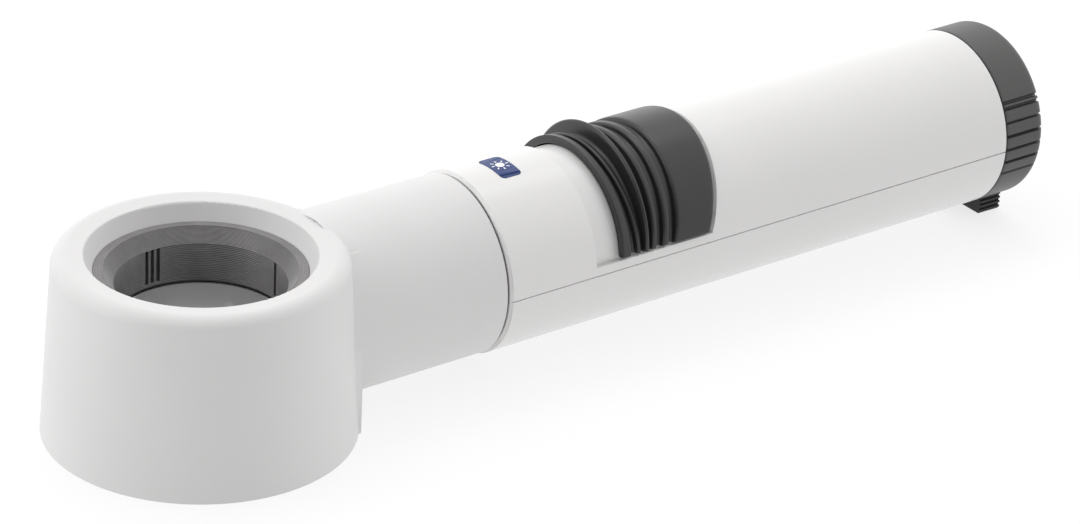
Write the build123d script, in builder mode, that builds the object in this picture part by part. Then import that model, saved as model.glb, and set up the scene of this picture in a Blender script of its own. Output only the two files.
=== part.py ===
from build123d import *
import os
from math import asin, cos, degrees, radians, sin, sqrt

# Illuminated stand magnifier: a conical lens head that plugs into a battery handle.
# The lens axis is +Z, the origin is where it meets the plane the head stands on, and
# the handle runs out along +X, tilted up a little so that its rear foot reaches that plane.
# Lengths called s are measured along the handle's axis from the lens axis. Millimetres.

os.makedirs("parts", exist_ok=True)

# clearances
turning_fit = 0.05
sliding_fit = 0.08
seat_fit = 0.05
body_gap = 0.3

# lens head
head_height = 34.0
head_base_radius = 27.8
head_top_radius = 25.7
head_wall = 2.2
head_top_edge = 2.6
head_top_dish = 0.4
eye_opening_radius = 20.2
eye_opening_depth = 3.4
eye_opening_edge = 0.5
head_top_plate = 2.8
sleeve_wall = 2.0
sleeve_bottom = 17.0
scale_seat_radius = 25.5
scale_seat_depth = 3.0
scale_lip_width = 0.9
scale_lip_height = 1.2

# lens and the cell that holds it
cell_radius = 18.6
cell_bottom = 17.4
cell_rim_width = 1.85
cell_step_depth = 2.55
cell_well_radius = 15.0
lens_ledge = 21.0
lens_radius = 16.2
lens_edge_thickness = 1.6
lens_rim_width = 1.2
lens_top_curvature = 60.0
lens_bottom_curvature = 20.0
seal_thickness = 0.3
well_slot_width = 0.8
well_slot_depth = 0.7
well_slot_height = 6.5
well_slot_foot = 0.4
well_slot_angles = (-0.5, 88.0, 92.5, 97.0, 179.5, 268.0, 272.5, 277.0)
ring_spanner_slot = 1.2

# handle axis
axis_height = 17.1
handle_tilt = 0.9

# neck of the head
neck_radius = 16.7
neck_wall = 2.0
neck_start = 10.0
root_radius = 28.2
root_half_width = 17.0
seam_position = 53.9
seam_gap = 0.3
neck_edge = 0.4

# lamp in the neck
window_half_width = 6.4
window_bottom = 6.6
window_top = 14.5
window_inner_x = 23.6
window_flange_x = 27.5
window_flange_thickness = 1.2
window_flange_margin = 1.1
lamp_offset = -7.0
board_position = 38.5
board_thickness = 1.6
board_radius = 13.4
board_screw_offset = 10.0
boss_radius = 2.3
boss_start = 25.0
screw_radius = 1.0
screw_head_radius = 1.9
screw_head_height = 1.3
screw_length = 6.0
lamp_radius = 2.5
lamp_flange_radius = 2.9
lamp_flange_thickness = 1.0
lamp_length = 7.0
reflector_mouth_radius = 6.2
reflector_length = 8.0
reflector_wall = 0.8

# plug and socket
plug_rear = 46.0
plug_nose_radius = 11.5
plug_nose_length = 6.0
plug_wall = 1.6
key_width = 2.4
key_height = 0.9
pin_radius = 1.2
pin_offset = 5.0
pin_reach = 4.2
pin_tail = 3.0
lead_radius = 0.55
lead_offset = 3.2
socket_floor = 1.6
contact_sleeve_wall = 0.6
contact_sleeve_length = 3.4
pull_travel = 14.0

# handle shells
handle_radius = 17.0
shell_wall = 1.8
shell_front_edge = 0.5
split_height = -0.75
seam_groove_width = 0.24
seam_groove_depth = 0.3
body_end = 169.4
rib_thickness = 1.6
rib_positions = (73.0, 104.0, 134.0, 160.0)
rib_gate_half_width = 3.4
rib_gate_relief = 0.2

# batteries (C cells)
battery_radius = 13.0
battery_length = 50.0
battery_nub_radius = 3.2
battery_nub_height = 1.6
battery_edge = 0.9
cell_rib_clearance = 0.3
contact_thickness = 0.4
front_contact_radius = 6.0
holder_thickness = 1.5

# switch
recess_front = 72.6
recess_depth = 1.0
recess_half_angle = 86.5
slider_front = 78.0
slider_rear = 97.1
slider_rear_gap = 1.3
slider_rear_lean = 16.5
slider_half_angle = 84.5
slider_proud = 0.85
slider_travel = 3.4
valley_depth = 0.85
ridge_positions = (78.0, 81.5, 82.8, 84.2, 86.8)
ridge_thicknesses = (1.8, 0.9, 1.1, 1.3, 1.4)
ridge_leans = (0.0, -4.5, 0.0, 7.0, 8.0)
ridge_rises = (0.0, -0.2, 1.8, -0.2, -0.2)
saddle_start = 89.5
saddle_lean = 9.5
stem_width = 3.2
stem_length = 6.0
stem_centre = 88.0
strip_width = 5.0
strip_height = 14.05
strip_break_front = 84.0
strip_break_rear = 91.5
bridge_length = 8.0
bridge_width = 4.0
detent_thickness = 0.3
detent_height = 1.0

# label
label_length = 4.3
label_width = 8.0
label_position = 62.8
label_thickness = 0.3
label_proud = 0.1
label_corner = 0.9

# end cap
cap_gap = 0.3
cap_end = 179.1
cap_wall = 1.6
cap_end_wall = 2.2
cap_rear_edge = 1.6
cap_front_edge = 0.3
groove_angles = (64.3, 73.5, 82.8, 92.1, 101.4, 110.6)
groove_width = 0.9
groove_depth = 0.5
spigot_wall = 1.4
spigot_length = 4.8
lug_angle = 30.0
lug_half_span = 7.0
lug_height = 1.0
lug_length = 1.5
lug_setback = 1.8
slot_play = 0.25
slot_half_angle_play = 1.5
cap_turn = 30.0
seal_width = 1.1
spring_wire_radius = 0.5
spring_wide_radius = 7.0
spring_narrow_radius = 3.6
spring_turns = 3
plate_radius = 14.2
plate_thickness = 0.6

# foot under the end cap
foot_front = 174.4
foot_rear = 179.3
foot_half_width = 6.2
foot_top = 5.2
foot_groove_depth = 0.35
foot_groove_width = 0.5
foot_groove_spacing = 0.95
foot_peg_radius = 1.5
foot_peg_depth = 1.0

# directions of the handle's own frame
along = Vector(cos(radians(handle_tilt)), 0, sin(radians(handle_tilt)))
upward = Vector(-sin(radians(handle_tilt)), 0, cos(radians(handle_tilt)))
axis_start = Vector(0, 0, axis_height)
handle_axis = Axis(axis_start, along)


def across(s):
    """Plane square to the handle's axis: its x is +Y and its y is the handle's up."""
    return Plane(origin=axis_start + along * s, x_dir=(0, 1, 0), z_dir=along)


def side(y=0.0):
    """Elevation of the handle: its x is s and its y is the handle's up. It faces -Y."""
    return Plane(origin=axis_start + Vector(0, y, 0), x_dir=along, z_dir=(0, -1, 0))


def above(height=0.0):
    """Plan of the handle at a height over its axis: its x is s and its y is +Y."""
    return Plane(origin=axis_start + upward * height, x_dir=along, z_dir=upward)


def ring_sketch(outer, inner):
    """A flat ring on the present sketch plane."""
    Circle(outer)
    Circle(inner, mode=Mode.SUBTRACT)


def sector_sketch(outer, inner, middle, half_span):
    """A sector of a ring. Angles run from the handle's up towards -Y, in degrees."""
    far = outer * 3
    Circle(outer)
    Circle(inner, mode=Mode.SUBTRACT)
    corners = [(0, 0)]
    for step in range(-4, 5):
        angle = radians(middle + half_span * step / 4)
        corners.append((-far * sin(angle), far * cos(angle)))
    Polygon(*corners, align=None, mode=Mode.INTERSECT)


def wall_radius(z):
    """Outer radius of the conical head at a height."""
    return head_base_radius + (head_top_radius - head_base_radius) * z / head_height


def leaning(s, lean):
    """Plane across the handle whose top leans towards the cap by an angle in degrees."""
    square = along * cos(radians(lean)) - upward * sin(radians(lean))
    return Plane(origin=axis_start + along * s, x_dir=(0, 1, 0), z_dir=square)


# worked out from the sizes above
opening_floor = head_height - eye_opening_depth
sleeve_bore = cell_radius + seat_fit
top_plate_under = head_height - head_top_plate
neck_end = seam_position - seam_gap
neck_bore = neck_radius - neck_wall
shell_bore = handle_radius - shell_wall
nose_end = seam_position + plug_nose_length
socket_end = nose_end + body_gap + socket_floor
pin_end = nose_end + pin_reach
sleeve_end = socket_end + contact_sleeve_length
battery_start = sleeve_end + holder_thickness + contact_thickness
battery_middle = battery_start + battery_length
battery_end = battery_start + 2 * battery_length
rib_radius = battery_radius + cell_rib_clearance
recess_floor = handle_radius - recess_depth
recess_rear = slider_rear + slider_rear_gap
slider_radius = handle_radius + slider_proud
spigot_radius = handle_radius - cap_wall - turning_fit
spigot_end = body_end + spigot_length
cap_start = body_end + cap_gap
plate_position = cap_end - cap_end_wall - plate_thickness
spring_start = battery_end + turning_fit
spring_height = plate_position - spring_start

# ---- lens head ---------------------------------------------------------------------------

# One moulding: conical wall, top rim, sleeve for the lens cell, and the neck of the handle.
with BuildPart() as head_housing:
    # root of the neck, with upright sides down to the base
    with BuildSketch(across(neck_start)):
        Circle(root_half_width)
        Rectangle(2 * root_half_width, 2 * axis_height, align=(Align.CENTER, Align.MAX))
    extrude(amount=root_radius)
    with BuildSketch(Plane.XY):
        Circle(root_radius)
    extrude(amount=head_height - head_top_edge, mode=Mode.INTERSECT)
    # neck
    with BuildSketch(across(neck_start)):
        Circle(neck_radius)
    extrude(amount=neck_end - neck_start)
    chamfer(head_housing.edges().filter_by(GeomType.CIRCLE).sort_by(handle_axis)[-1], neck_edge)
    with BuildSketch(across(neck_start)):
        Circle(neck_bore)
    extrude(amount=neck_end - neck_start, mode=Mode.SUBTRACT)
    # everything inside the cone's skin is cleared before the wall goes in
    skin = head_wall / 3
    with BuildSketch(Plane.XZ):
        with BuildLine():
            Polyline(
                (0, -1),
                (wall_radius(-1) - skin, -1),
                (wall_radius(head_height - head_top_edge) - skin, head_height - head_top_edge),
                (head_top_radius - head_top_edge, head_height - head_top_edge),
                (head_top_radius - head_top_edge, head_height + 2),
                (0, head_height + 2),
                close=True,
            )
        make_face()
    revolve(axis=Axis.Z, mode=Mode.SUBTRACT)
    # conical wall, top plate and sleeve in one turned section
    lip_top = scale_seat_depth + scale_lip_height
    with BuildSketch(Plane.XZ) as head_section:
        with BuildLine():
            Polyline(
                (scale_seat_radius, 0),
                (head_base_radius, 0),
                (head_top_radius, head_height),
                (eye_opening_radius, head_height - head_top_dish),
                (sleeve_bore, opening_floor),
                (sleeve_bore, sleeve_bottom),
                (sleeve_bore + sleeve_wall, sleeve_bottom),
                (sleeve_bore + sleeve_wall, top_plate_under),
                (wall_radius(top_plate_under) - head_wall, top_plate_under),
                (wall_radius(lip_top) - head_wall, lip_top),
                (scale_seat_radius - scale_lip_width, lip_top),
                (scale_seat_radius - scale_lip_width, scale_seat_depth),
                (scale_seat_radius, scale_seat_depth),
                close=True,
            )
        make_face()
        outer_corner = head_section.vertices().group_by(Axis.Y)[-1].sort_by(Axis.X)[-1]
        fillet(outer_corner, head_top_edge)
        inner_corner = head_section.vertices().sort_by_distance(
            (eye_opening_radius, head_height - head_top_dish)
        )[0]
        fillet(inner_corner, eye_opening_edge)
    revolve(axis=Axis.Z)
    # bosses for the lamp board
    with BuildSketch(across(boss_start)):
        with Locations((-board_screw_offset, 0), (board_screw_offset, 0)):
            Circle(boss_radius)
    extrude(amount=board_position - boss_start)
    with BuildSketch(across(board_position)):
        with Locations((-board_screw_offset, 0), (board_screw_offset, 0)):
            Circle(screw_radius + seat_fit)
    extrude(amount=-screw_length, mode=Mode.SUBTRACT)
    # window for the lamp
    with BuildSketch(Plane.YZ.offset(window_inner_x - head_wall)):
        with Locations((0, (window_bottom + window_top) / 2)):
            Rectangle(2 * window_half_width, window_top - window_bottom)
    extrude(amount=window_flange_x - window_inner_x + head_wall, mode=Mode.SUBTRACT)

# Turned black cell: rim, stepped cone and a well with reflection-breaking slots.
cell_top = opening_floor - seat_fit
well_top = cell_top - cell_step_depth
with BuildPart() as lens_cell:
    with BuildSketch(Plane.XZ):
        with BuildLine():
            Polyline(
                (cell_radius, cell_bottom),
                (cell_radius, cell_top),
                (cell_radius - cell_rim_width, cell_top),
                (cell_well_radius, well_top),
                (cell_well_radius, lens_ledge),
                (lens_radius + seat_fit, lens_ledge),
                (lens_radius + seat_fit, cell_bottom),
                close=True,
            )
        make_face()
    revolve(axis=Axis.Z)
    for angle in well_slot_angles:
        slot_plane = Plane(
            origin=(0, 0, lens_ledge + well_slot_foot),
            x_dir=(cos(radians(angle)), sin(radians(angle)), 0),
            z_dir=(0, 0, 1),
        )
        with BuildSketch(slot_plane):
            with Locations((cell_well_radius, 0)):
                Rectangle(2 * well_slot_depth, well_slot_width)
        extrude(amount=well_slot_height, mode=Mode.SUBTRACT)

# Soft ring between the cell's ledge and the lens.
with BuildPart() as lens_seal:
    with BuildSketch(Plane.XY.offset(lens_ledge)):
        ring_sketch(lens_radius - seat_fit, lens_radius - lens_rim_width)
    extrude(amount=-seal_thickness)

# Biconvex acrylic lens with a flat rim.
lens_rim_top = lens_ledge - seal_thickness
lens_rim_bottom = lens_rim_top - lens_edge_thickness
clear_radius = lens_radius - lens_rim_width
top_rise = lens_top_curvature - sqrt(lens_top_curvature**2 - clear_radius**2)
bottom_rise = lens_bottom_curvature - sqrt(lens_bottom_curvature**2 - clear_radius**2)
with BuildPart() as magnifier_lens:
    with BuildSketch(Plane.XZ):
        with BuildLine():
            RadiusArc(
                (0, lens_rim_top + top_rise), (clear_radius, lens_rim_top), lens_top_curvature
            )
            Polyline(
                (clear_radius, lens_rim_top),
                (lens_radius, lens_rim_top),
                (lens_radius, lens_rim_bottom),
                (clear_radius, lens_rim_bottom),
            )
            RadiusArc(
                (clear_radius, lens_rim_bottom),
                (0, lens_rim_bottom - bottom_rise),
                lens_bottom_curvature,
            )
            Line((0, lens_rim_bottom - bottom_rise), (0, lens_rim_top + top_rise))
        make_face()
    revolve(axis=Axis.Z)

# Ring screwed in under the lens, with two spanner slots.
with BuildPart() as lens_retaining_ring:
    with BuildSketch(Plane.XY.offset(lens_rim_bottom)):
        ring_sketch(lens_radius, clear_radius)
    extrude(amount=cell_bottom - lens_rim_bottom)
    with BuildSketch(Plane.XY.offset(cell_bottom)):
        Rectangle(2 * lens_radius + 2, ring_spanner_slot)
    extrude(amount=0.7, mode=Mode.SUBTRACT)

# ---- lamp in the neck --------------------------------------------------------------------

# Clear window that closes the opening between the lamp and the viewing space.
window_height = window_top - window_bottom
window_middle = (window_bottom + window_top) / 2
with BuildPart() as light_window:
    with BuildSketch(Plane.YZ.offset(window_inner_x)):
        with Locations((0, window_middle)):
            Rectangle(2 * (window_half_width - seat_fit), window_height - 2 * seat_fit)
    extrude(amount=window_flange_x - window_inner_x)
    with BuildSketch(Plane.YZ.offset(window_flange_x)):
        with Locations((0, window_middle)):
            Rectangle(
                2 * (window_half_width + window_flange_margin),
                window_height + 2 * window_flange_margin,
            )
    extrude(amount=window_flange_thickness)

# Round board that carries the lamp.
board_rear = board_position + board_thickness
with BuildPart() as led_board:
    with BuildSketch(across(board_position)):
        Circle(board_radius)
        with Locations((-board_screw_offset, 0), (board_screw_offset, 0)):
            Circle(screw_radius + seat_fit, mode=Mode.SUBTRACT)
    extrude(amount=board_thickness)

# Lamp: flange and domed body, aimed at the window.
lamp_tip = board_position - lamp_length
with BuildPart() as led_emitter:
    with BuildSketch(side()):
        with BuildLine():
            Polyline(
                (board_position, lamp_offset),
                (board_position, lamp_offset + lamp_flange_radius),
                (board_position - lamp_flange_thickness, lamp_offset + lamp_flange_radius),
                (board_position - lamp_flange_thickness, lamp_offset + lamp_radius),
                (lamp_tip + lamp_radius, lamp_offset + lamp_radius),
            )
            RadiusArc(
                (lamp_tip + lamp_radius, lamp_offset + lamp_radius),
                (lamp_tip, lamp_offset),
                -lamp_radius,
            )
            Line((lamp_tip, lamp_offset), (board_position, lamp_offset))
        make_face()
    revolve(axis=Axis(axis_start + upward * lamp_offset, along))

# Cup round the lamp.
cup_rear = board_position - lamp_flange_thickness
cup_front = board_position - reflector_length
cup_throat = lamp_radius + seat_fit
with BuildPart() as led_reflector:
    with BuildSketch(side()):
        with BuildLine():
            Polyline(
                (cup_rear, lamp_offset + cup_throat),
                (cup_rear, lamp_offset + cup_throat + reflector_wall),
                (cup_front, lamp_offset + reflector_mouth_radius),
                (cup_front, lamp_offset + reflector_mouth_radius - reflector_wall),
                close=True,
            )
        make_face()
    revolve(axis=Axis(axis_start + upward * lamp_offset, along))

# Two screws that hold the board to the bosses.
with BuildPart() as board_screws:
    with BuildSketch(across(board_rear)):
        with Locations((-board_screw_offset, 0), (board_screw_offset, 0)):
            Circle(screw_radius)
    extrude(amount=-(board_thickness + screw_length - body_gap))
    with BuildSketch(across(board_rear)):
        with Locations((-board_screw_offset, 0), (board_screw_offset, 0)):
            Circle(screw_head_radius)
    extrude(amount=screw_head_height)

# ---- plug of the head --------------------------------------------------------------------

# Black plug glued into the neck. Its keyed nose goes into the handle.
with BuildPart() as head_plug:
    with BuildSketch(across(plug_rear)):
        Circle(neck_bore - seat_fit)
    extrude(amount=neck_end - plug_rear)
    with BuildSketch(across(neck_end)):
        Circle(plug_nose_radius)
        with Locations((0, plug_nose_radius)):
            Rectangle(key_width, 2 * key_height)
    extrude(amount=nose_end - neck_end)
    chamfer(head_plug.faces().sort_by(handle_axis)[-1].edges(), 0.4)
    with BuildSketch(across(plug_rear)):
        Circle(plug_nose_radius - plug_wall)
    extrude(amount=nose_end - plug_wall - plug_rear, mode=Mode.SUBTRACT)
    with BuildSketch(across(nose_end)):
        with Locations((-pin_offset, 0), (pin_offset, 0)):
            Circle(pin_radius + seat_fit)
    extrude(amount=-2 * plug_wall, mode=Mode.SUBTRACT)

# Two round contact pins with domed tips.
pin_start = nose_end - plug_wall - pin_tail
with BuildPart() as head_contact_pins:
    with BuildSketch(across(pin_start)):
        with Locations((-pin_offset, 0), (pin_offset, 0)):
            Circle(pin_radius)
    extrude(amount=pin_end - pin_start)
    fillet(head_contact_pins.edges().group_by(handle_axis)[-1], pin_radius * 0.6)

# Two insulated leads from the board to the pins.
lead_reach = pin_start - board_rear
with BuildPart() as head_leads:
    for direction in (-1, 1):
        with BuildLine(above()) as lead_path:
            FilletPolyline(
                (board_rear, direction * lead_offset),
                (board_rear + lead_reach * 0.35, direction * lead_offset),
                (board_rear + lead_reach * 0.65, direction * pin_offset),
                (pin_start, direction * pin_offset),
                radius=lead_reach * 0.3,
            )
        with BuildSketch(across(board_rear)):
            with Locations((direction * lead_offset, 0)):
                Circle(lead_radius)
        sweep(path=lead_path.line)

# ---- handle ------------------------------------------------------------------------------


def half_tube(upper):
    """Half of the handle's tube with its bore, spigot and battery ribs."""
    if upper:
        lean = Align.MIN
        circle_start = upward * -1
    else:
        lean = Align.MAX
        circle_start = upward
    reach = handle_radius * 3

    def section(s):
        """Section plane whose circles start and end in the half that is cut away."""
        return Plane(origin=axis_start + along * s, x_dir=circle_start, z_dir=along)

    with BuildPart() as tube:
        with BuildSketch(section(seam_position)):
            ring_sketch(handle_radius, shell_bore)
        extrude(amount=body_end - seam_position)
        front_circles = tube.edges().filter_by(GeomType.CIRCLE).group_by(handle_axis)[0]
        chamfer(front_circles.sort_by(SortBy.RADIUS)[-1], shell_front_edge)
        with BuildSketch(section(body_end - rib_thickness)):
            ring_sketch(handle_radius - seal_width, spigot_radius - spigot_wall)
        extrude(amount=rib_thickness)
        with BuildSketch(section(body_end)):
            ring_sketch(spigot_radius, spigot_radius - spigot_wall)
        extrude(amount=spigot_length)
        for s in rib_positions:
            with BuildSketch(section(s)):
                ring_sketch(shell_bore + seat_fit, rib_radius)
                if upper:
                    with Locations((-handle_radius, 0)):
                        Rectangle(handle_radius, 2 * rib_gate_half_width, mode=Mode.SUBTRACT)
            extrude(amount=rib_thickness)
            if upper:
                with BuildSketch(section(s)):
                    Circle(shell_bore + rib_gate_relief)
                    with Locations((-handle_radius, 0)):
                        Rectangle(handle_radius, 2 * rib_gate_half_width, mode=Mode.INTERSECT)
                extrude(amount=rib_thickness, mode=Mode.SUBTRACT)
        with BuildSketch(across(neck_start)):
            with Locations((0, split_height)):
                Rectangle(reach, reach, align=(Align.CENTER, lean))
        extrude(amount=cap_end, mode=Mode.INTERSECT)
        # shadow line along both sides where the shells meet
        with BuildSketch(across(seam_position)):
            with Locations((-handle_radius, split_height), (handle_radius, split_height)):
                Rectangle(2 * seam_groove_depth, seam_groove_width)
        extrude(amount=body_end - seam_position, mode=Mode.SUBTRACT)
    return tube.part


def bayonet_slot(middle):
    """L-shaped opening through the spigot for one lug of the cap."""
    lug_start = body_end + lug_setback
    run_half_span = lug_half_span + slot_half_angle_play + cap_turn / 2
    exit_half_span = lug_half_span + slot_half_angle_play
    inside = spigot_radius - 2 * spigot_wall
    with BuildPart() as opening:
        with BuildSketch(across(lug_start - slot_play)):
            sector_sketch(handle_radius, inside, middle + cap_turn / 2, run_half_span)
        extrude(amount=lug_length + 2 * slot_play)
        with BuildSketch(across(lug_start)):
            sector_sketch(handle_radius, inside, middle + cap_turn, exit_half_span)
        extrude(amount=spigot_length)
    return opening.part


def label_blank(margin):
    """Curved plate the size of the label, grown by a margin at its sides."""
    with BuildPart() as blank:
        with BuildSketch(above(handle_radius * 0.5)):
            with Locations((label_position, 0)):
                RectangleRounded(
                    label_length + 2 * margin, label_width + 2 * margin, label_corner + margin
                )
        extrude(amount=handle_radius)
        with BuildSketch(across(seam_position)):
            ring_sketch(
                handle_radius + label_proud, handle_radius + label_proud - label_thickness
            )
        extrude(amount=label_position, mode=Mode.INTERSECT)
    return blank.part


def switch_recess():
    """Space that the slider moves in. Its rear wall leans like the slider's rear edge."""
    with BuildPart() as space:
        with BuildSketch(across(recess_front)):
            sector_sketch(handle_radius + 1, recess_floor, 0, recess_half_angle)
        extrude(amount=2 * handle_radius)
        with BuildSketch(leaning(recess_rear, slider_rear_lean)):
            Rectangle(4 * handle_radius, 4 * handle_radius)
        extrude(amount=-3 * handle_radius, mode=Mode.INTERSECT)
    return space.part


# Upper shell: half tube with the switch recess, its slot and the label's seat.
with BuildPart() as upper_shell:
    add(half_tube(True))
    add(switch_recess(), mode=Mode.SUBTRACT)
    slot_front = stem_centre - stem_length / 2 - slider_travel - body_gap
    slot_rear = stem_centre + stem_length / 2 + body_gap
    with BuildSketch(above()):
        with Locations(((slot_front + slot_rear) / 2, 0)):
            Rectangle(slot_rear - slot_front, stem_width + 2 * body_gap)
    extrude(amount=handle_radius, mode=Mode.SUBTRACT)
    add(label_blank(seat_fit), mode=Mode.SUBTRACT)
    add(bayonet_slot(lug_angle), mode=Mode.SUBTRACT)
    with BuildSketch(across(body_end - 2 * rib_thickness)):
        with Locations((0, strip_height + contact_thickness + body_gap)):
            Rectangle(
                strip_width + 2 * body_gap,
                spigot_wall + 2 * body_gap,
                align=(Align.CENTER, Align.MAX),
            )
    extrude(amount=spigot_length + 3 * rib_thickness, mode=Mode.SUBTRACT)

# Lower shell: the plain half.
with BuildPart() as lower_shell:
    add(half_tube(False))
    add(bayonet_slot(lug_angle + 180), mode=Mode.SUBTRACT)

# Socket at the front of the handle, with a keyway for the plug's nose.
socket_bore = plug_nose_radius + sliding_fit
with BuildPart() as socket_block:
    with BuildSketch(across(seam_position)):
        ring_sketch(shell_bore - seat_fit, socket_bore)
        with Locations((0, plug_nose_radius)):
            Rectangle(
                key_width + 2 * sliding_fit, 2 * (key_height + sliding_fit), mode=Mode.SUBTRACT
            )
    extrude(amount=nose_end + body_gap - seam_position)
    with BuildSketch(across(nose_end + body_gap)):
        Circle(shell_bore - seat_fit)
        with Locations((-pin_offset, 0), (pin_offset, 0)):
            Circle(pin_radius + sliding_fit, mode=Mode.SUBTRACT)
    extrude(amount=socket_floor)

# Two brass sleeves that take the pins.
with BuildPart() as socket_contacts:
    with BuildSketch(across(socket_end)):
        with Locations((-pin_offset, 0), (pin_offset, 0)):
            Circle(pin_radius + sliding_fit + contact_sleeve_wall)
        with Locations((-pin_offset, 0), (pin_offset, 0)):
            Circle(pin_radius + sliding_fit, mode=Mode.SUBTRACT)
    extrude(amount=contact_sleeve_length)

# Disc behind the sleeves that carries the front contact.
with BuildPart() as contact_holder:
    with BuildSketch(across(sleeve_end)):
        Circle(shell_bore - seat_fit)
        with Locations((-pin_offset, 0), (pin_offset, 0)):
            Circle(pin_radius, mode=Mode.SUBTRACT)
        with Locations((0, strip_height + contact_thickness / 2)):
            Rectangle(
                strip_width + 2 * seat_fit, contact_thickness + 2 * seat_fit, mode=Mode.SUBTRACT
            )
    extrude(amount=holder_thickness)

# Plate that touches the first battery's nub.
with BuildPart() as front_contact_plate:
    with BuildSketch(across(sleeve_end + holder_thickness)):
        Circle(front_contact_radius)
    extrude(amount=contact_thickness)


def battery_cell(start):
    """One C cell with its nub towards the head."""
    with BuildPart() as cell:
        with BuildSketch(across(start + battery_nub_height)):
            Circle(battery_radius)
        extrude(amount=battery_length - battery_nub_height)
        fillet(cell.edges().filter_by(GeomType.CIRCLE), battery_edge)
        with BuildSketch(across(start + battery_nub_height + battery_edge)):
            Circle(battery_nub_radius)
        extrude(amount=-(battery_nub_height + battery_edge))
    return cell.part


with BuildPart() as battery_front:
    add(battery_cell(battery_start))

with BuildPart() as battery_rear:
    add(battery_cell(battery_middle))


def flat_strip(start, end):
    """Straight contact strip along the top of the battery space."""
    with BuildPart() as strip:
        with BuildSketch(above(strip_height)):
            with Locations(((start + end) / 2, 0)):
                Rectangle(end - start, strip_width)
        extrude(amount=contact_thickness)
    return strip.part


# Strips on the two sides of the switch.
with BuildPart() as front_strip:
    add(flat_strip(sleeve_end, strip_break_front))

with BuildPart() as rear_strip:
    add(flat_strip(strip_break_rear, plate_position - body_gap / 2))

# Leaf that gives the slider its two positions, fixed beside the slot.
leaf_bump = bridge_width / 2 + turning_fit + detent_thickness / 2
leaf_half = stem_length + slider_travel
with BuildPart() as switch_detent_spring:
    with BuildSketch(above(strip_height - detent_height / 2)):
        with BuildLine():
            Polyline(
                (stem_centre - leaf_half, leaf_bump + 1.6),
                (stem_centre - 3, leaf_bump + 0.6),
                (stem_centre - 1.2, leaf_bump),
                (stem_centre + 0.6, leaf_bump + 0.6),
                (stem_centre + leaf_half, leaf_bump + 1.6),
            )
            offset(amount=detent_thickness / 2)
        make_face()
    extrude(amount=detent_height)

# Blue lamp label let into the upper shell.
with BuildPart() as lamp_label:
    add(label_blank(0))

# ---- switch ------------------------------------------------------------------------------

slider_inner = recess_floor + body_gap


def saddle_slice(start, thickness, lean, rise):
    """Leaning slice of the saddle. A rise lifts its crest on top and none at its sides."""
    with BuildPart() as piece:
        with BuildSketch(across(slider_front)):
            sector_sketch(slider_radius + max(rise, 0), slider_inner, 0, slider_half_angle)
            with Locations((0, max(rise, 0))):
                Circle(slider_radius + min(rise, 0), mode=Mode.INTERSECT)
        extrude(amount=2 * handle_radius)
        with BuildSketch(leaning(start, lean)):
            Rectangle(4 * handle_radius, 4 * handle_radius)
        extrude(amount=thickness * cos(radians(lean)), mode=Mode.INTERSECT)
    return piece.part


# Saddle over the top of the handle with crescent ridges for the thumb.
with BuildPart() as switch_slider:
    with BuildSketch(across(slider_front)):
        sector_sketch(slider_radius - valley_depth, slider_inner, 0, slider_half_angle)
    extrude(amount=2 * handle_radius)
    for start, thickness, lean, rise in zip(
        ridge_positions, ridge_thicknesses, ridge_leans, ridge_rises
    ):
        add(saddle_slice(start, thickness, lean, rise))
    add(saddle_slice(saddle_start, 2 * handle_radius, saddle_lean, 0))
    with BuildSketch(leaning(slider_rear, slider_rear_lean)):
        Rectangle(4 * handle_radius, 4 * handle_radius)
    extrude(amount=3 * handle_radius, mode=Mode.SUBTRACT)
    with BuildSketch(above(strip_height + contact_thickness * 2 + turning_fit)):
        with Locations((stem_centre, 0)):
            Rectangle(stem_length, stem_width)
    extrude(amount=slider_radius - strip_height - 2.0)

# Contact under the stem that joins the two strips when the slider is forward.
with BuildPart() as switch_bridge:
    with BuildSketch(above(strip_height + contact_thickness + turning_fit)):
        with Locations((stem_centre + 1.2, 0)):
            Rectangle(bridge_length, bridge_width)
    extrude(amount=contact_thickness)

# ---- end cap -----------------------------------------------------------------------------

# Turned-on cap with grip grooves and two inner bayonet lugs.
cap_bore = handle_radius - cap_wall
foot_middle = (foot_front + foot_rear) / 2
with BuildPart() as end_cap:
    with BuildSketch(across(cap_start)):
        Circle(handle_radius)
    extrude(amount=cap_end - cap_start)
    fillet(end_cap.edges().filter_by(GeomType.CIRCLE).sort_by(handle_axis)[-1], cap_rear_edge)
    chamfer(end_cap.edges().filter_by(GeomType.CIRCLE).sort_by(handle_axis)[0], cap_front_edge)
    with BuildSketch(across(cap_start)):
        Circle(cap_bore)
    extrude(amount=cap_end - cap_end_wall - cap_start, mode=Mode.SUBTRACT)
    for mirrored in (-1, 1):
        for angle in groove_angles:
            turn = radians(angle * mirrored)
            outward = Vector(0, -sin(turn), 0) + upward * cos(turn)
            groove_plane = Plane(
                origin=axis_start + along * cap_start + outward * (handle_radius - groove_depth),
                x_dir=along,
                z_dir=outward,
            )
            with BuildSketch(groove_plane):
                Rectangle(
                    2 * (cap_end - cap_start), groove_width, align=(Align.CENTER, Align.CENTER)
                )
            extrude(amount=2 * groove_depth, mode=Mode.SUBTRACT)
    for middle in (lug_angle, lug_angle + 180):
        with BuildSketch(across(body_end + lug_setback)):
            sector_sketch(cap_bore + seat_fit, cap_bore - lug_height, middle, lug_half_span)
        extrude(amount=lug_length)
    with BuildSketch(Plane.XY):
        with Locations((foot_middle, 0)):
            Circle(foot_peg_radius + seat_fit)
    extrude(amount=foot_top + foot_peg_depth, mode=Mode.SUBTRACT)

# Black gasket in the gap between handle and cap.
with BuildPart() as cap_seal:
    with BuildSketch(across(body_end)):
        ring_sketch(handle_radius - shell_front_edge, spigot_radius + seat_fit)
    extrude(amount=cap_gap - turning_fit)

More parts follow.
